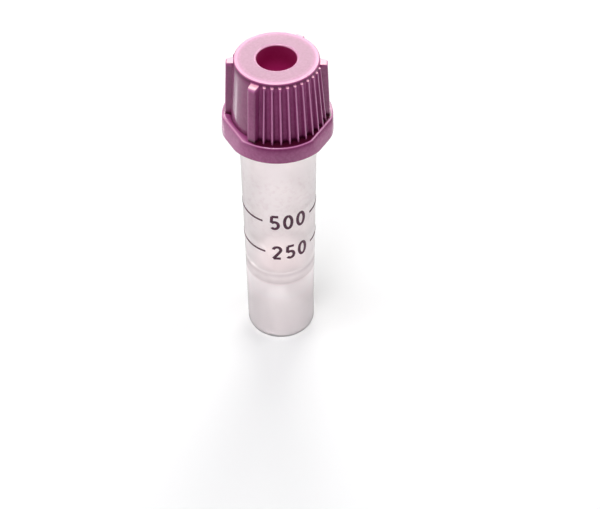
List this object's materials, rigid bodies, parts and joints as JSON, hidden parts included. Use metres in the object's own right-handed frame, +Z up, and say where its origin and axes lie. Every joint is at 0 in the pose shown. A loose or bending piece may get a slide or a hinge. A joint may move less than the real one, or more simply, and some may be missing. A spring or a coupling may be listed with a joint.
{
  "type": "blood collection tube",
  "caption": "Small capped blood collection tube with a false floor, a hollow open foot and a ribbed plug cap with a flange and a top well.",
  "frame": {"origin": "centre of the tube's foot rim, on the surface that it stands on", "axes": "+Z up along the tube's axis towards the cap; the middle of one smooth panel of the cap faces -X"},
  "size_m": [0.0133, 0.0134, 0.0446],
  "materials": {
    "tube_plastic": "milky translucent moulded plastic, satin",
    "cap_plastic": "fine satin moulded plastic, mauve"
  },
  "bodies": {
    "tube": {"tube": "tube_plastic"},
    "cap": {"cap": "cap_plastic"}
  },
  "joints": [
    {"name": "cap_lift", "type": "slide", "parent": "tube", "child": "cap", "axis": [0, 0, 1], "range_m": [0, 0.016]}
  ]
}
